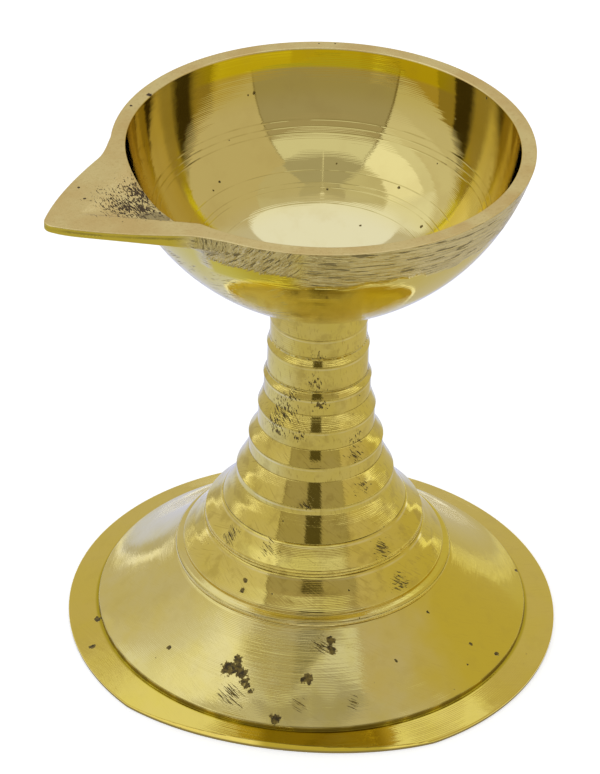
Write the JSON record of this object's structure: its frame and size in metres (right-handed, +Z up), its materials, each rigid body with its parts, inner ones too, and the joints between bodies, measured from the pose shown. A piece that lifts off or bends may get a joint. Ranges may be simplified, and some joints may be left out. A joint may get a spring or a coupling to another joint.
{
  "type": "oil lamp",
  "caption": "Small brass oil lamp: a round bowl with a pointed wick spout, screwed onto a hollow pedestal with a stepped stem and a wide flanged foot.",
  "frame": {"origin": "middle of the bounding box on the plane that the foot stands on; the lamp's own axis is 3.275 mm from it along +X", "axes": "+Z up along the lamp's axis, -X out along the spout, +Y to the right of someone who looks out along the spout"},
  "size_m": [0.0756, 0.069, 0.076],
  "materials": {
    "pedestal": "polished casting with turning marks and small pits",
    "stud": "cut thread",
    "bowl": "polished inside, satin rim and filed outside"
  },
  "bodies": {
    "pedestal": {"pedestal": "pedestal"},
    "stud": {"stud": "stud"},
    "bowl": {"bowl": "bowl"}
  },
  "joints": [
    {"name": "stud_lift", "type": "slide", "parent": "pedestal", "child": "stud", "axis": [0, 0, 1], "range_m": [0, 0.0082]},
    {"name": "bowl_unscrew", "type": "hinge", "parent": "stud", "child": "bowl", "pos_m": [0.00328, 0, 0.053], "axis": [0, 0, 1], "range_deg": [0, 2340]}
  ],
  "couplings": [
    {"joint": "stud_lift", "follows": "bowl_unscrew", "m_per_rad": 0.00019894}
  ]
}
